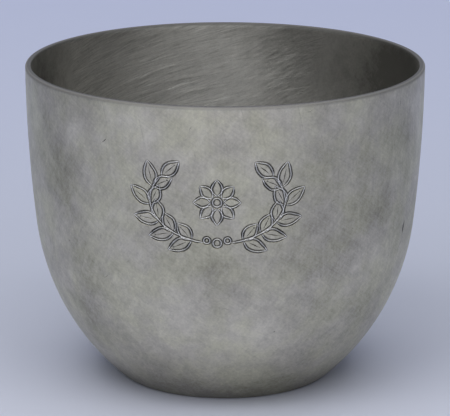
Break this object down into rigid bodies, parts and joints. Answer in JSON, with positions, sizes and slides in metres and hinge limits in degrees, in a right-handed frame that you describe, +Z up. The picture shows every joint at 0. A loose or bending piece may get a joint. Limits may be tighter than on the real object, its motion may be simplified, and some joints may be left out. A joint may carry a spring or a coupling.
{
  "type": "jefferson cup",
  "caption": "Low round-bottomed pewter tumbler with a plain rounded lip, a nearly upright wall and a small flat foot, for drinking from without a handle.",
  "frame": {"origin": "centre of the foot, on the surface that the cup stands on", "axes": "+Z up along the cup's axis, -Y towards the viewer in the picture, +X to the viewer's right"},
  "size_m": [0.0794, 0.0794, 0.0635],
  "materials": {
    "satin_pewter": "satin, lightly tarnished pewter",
    "turned_pewter": "satin pewter with turning marks",
    "solder": "dull tin solder"
  },
  "bodies": {
    "root": {"cup_body": "satin_pewter", "base_disc": "turned_pewter", "solder_seam": "solder"}
  },
  "joints": []
}
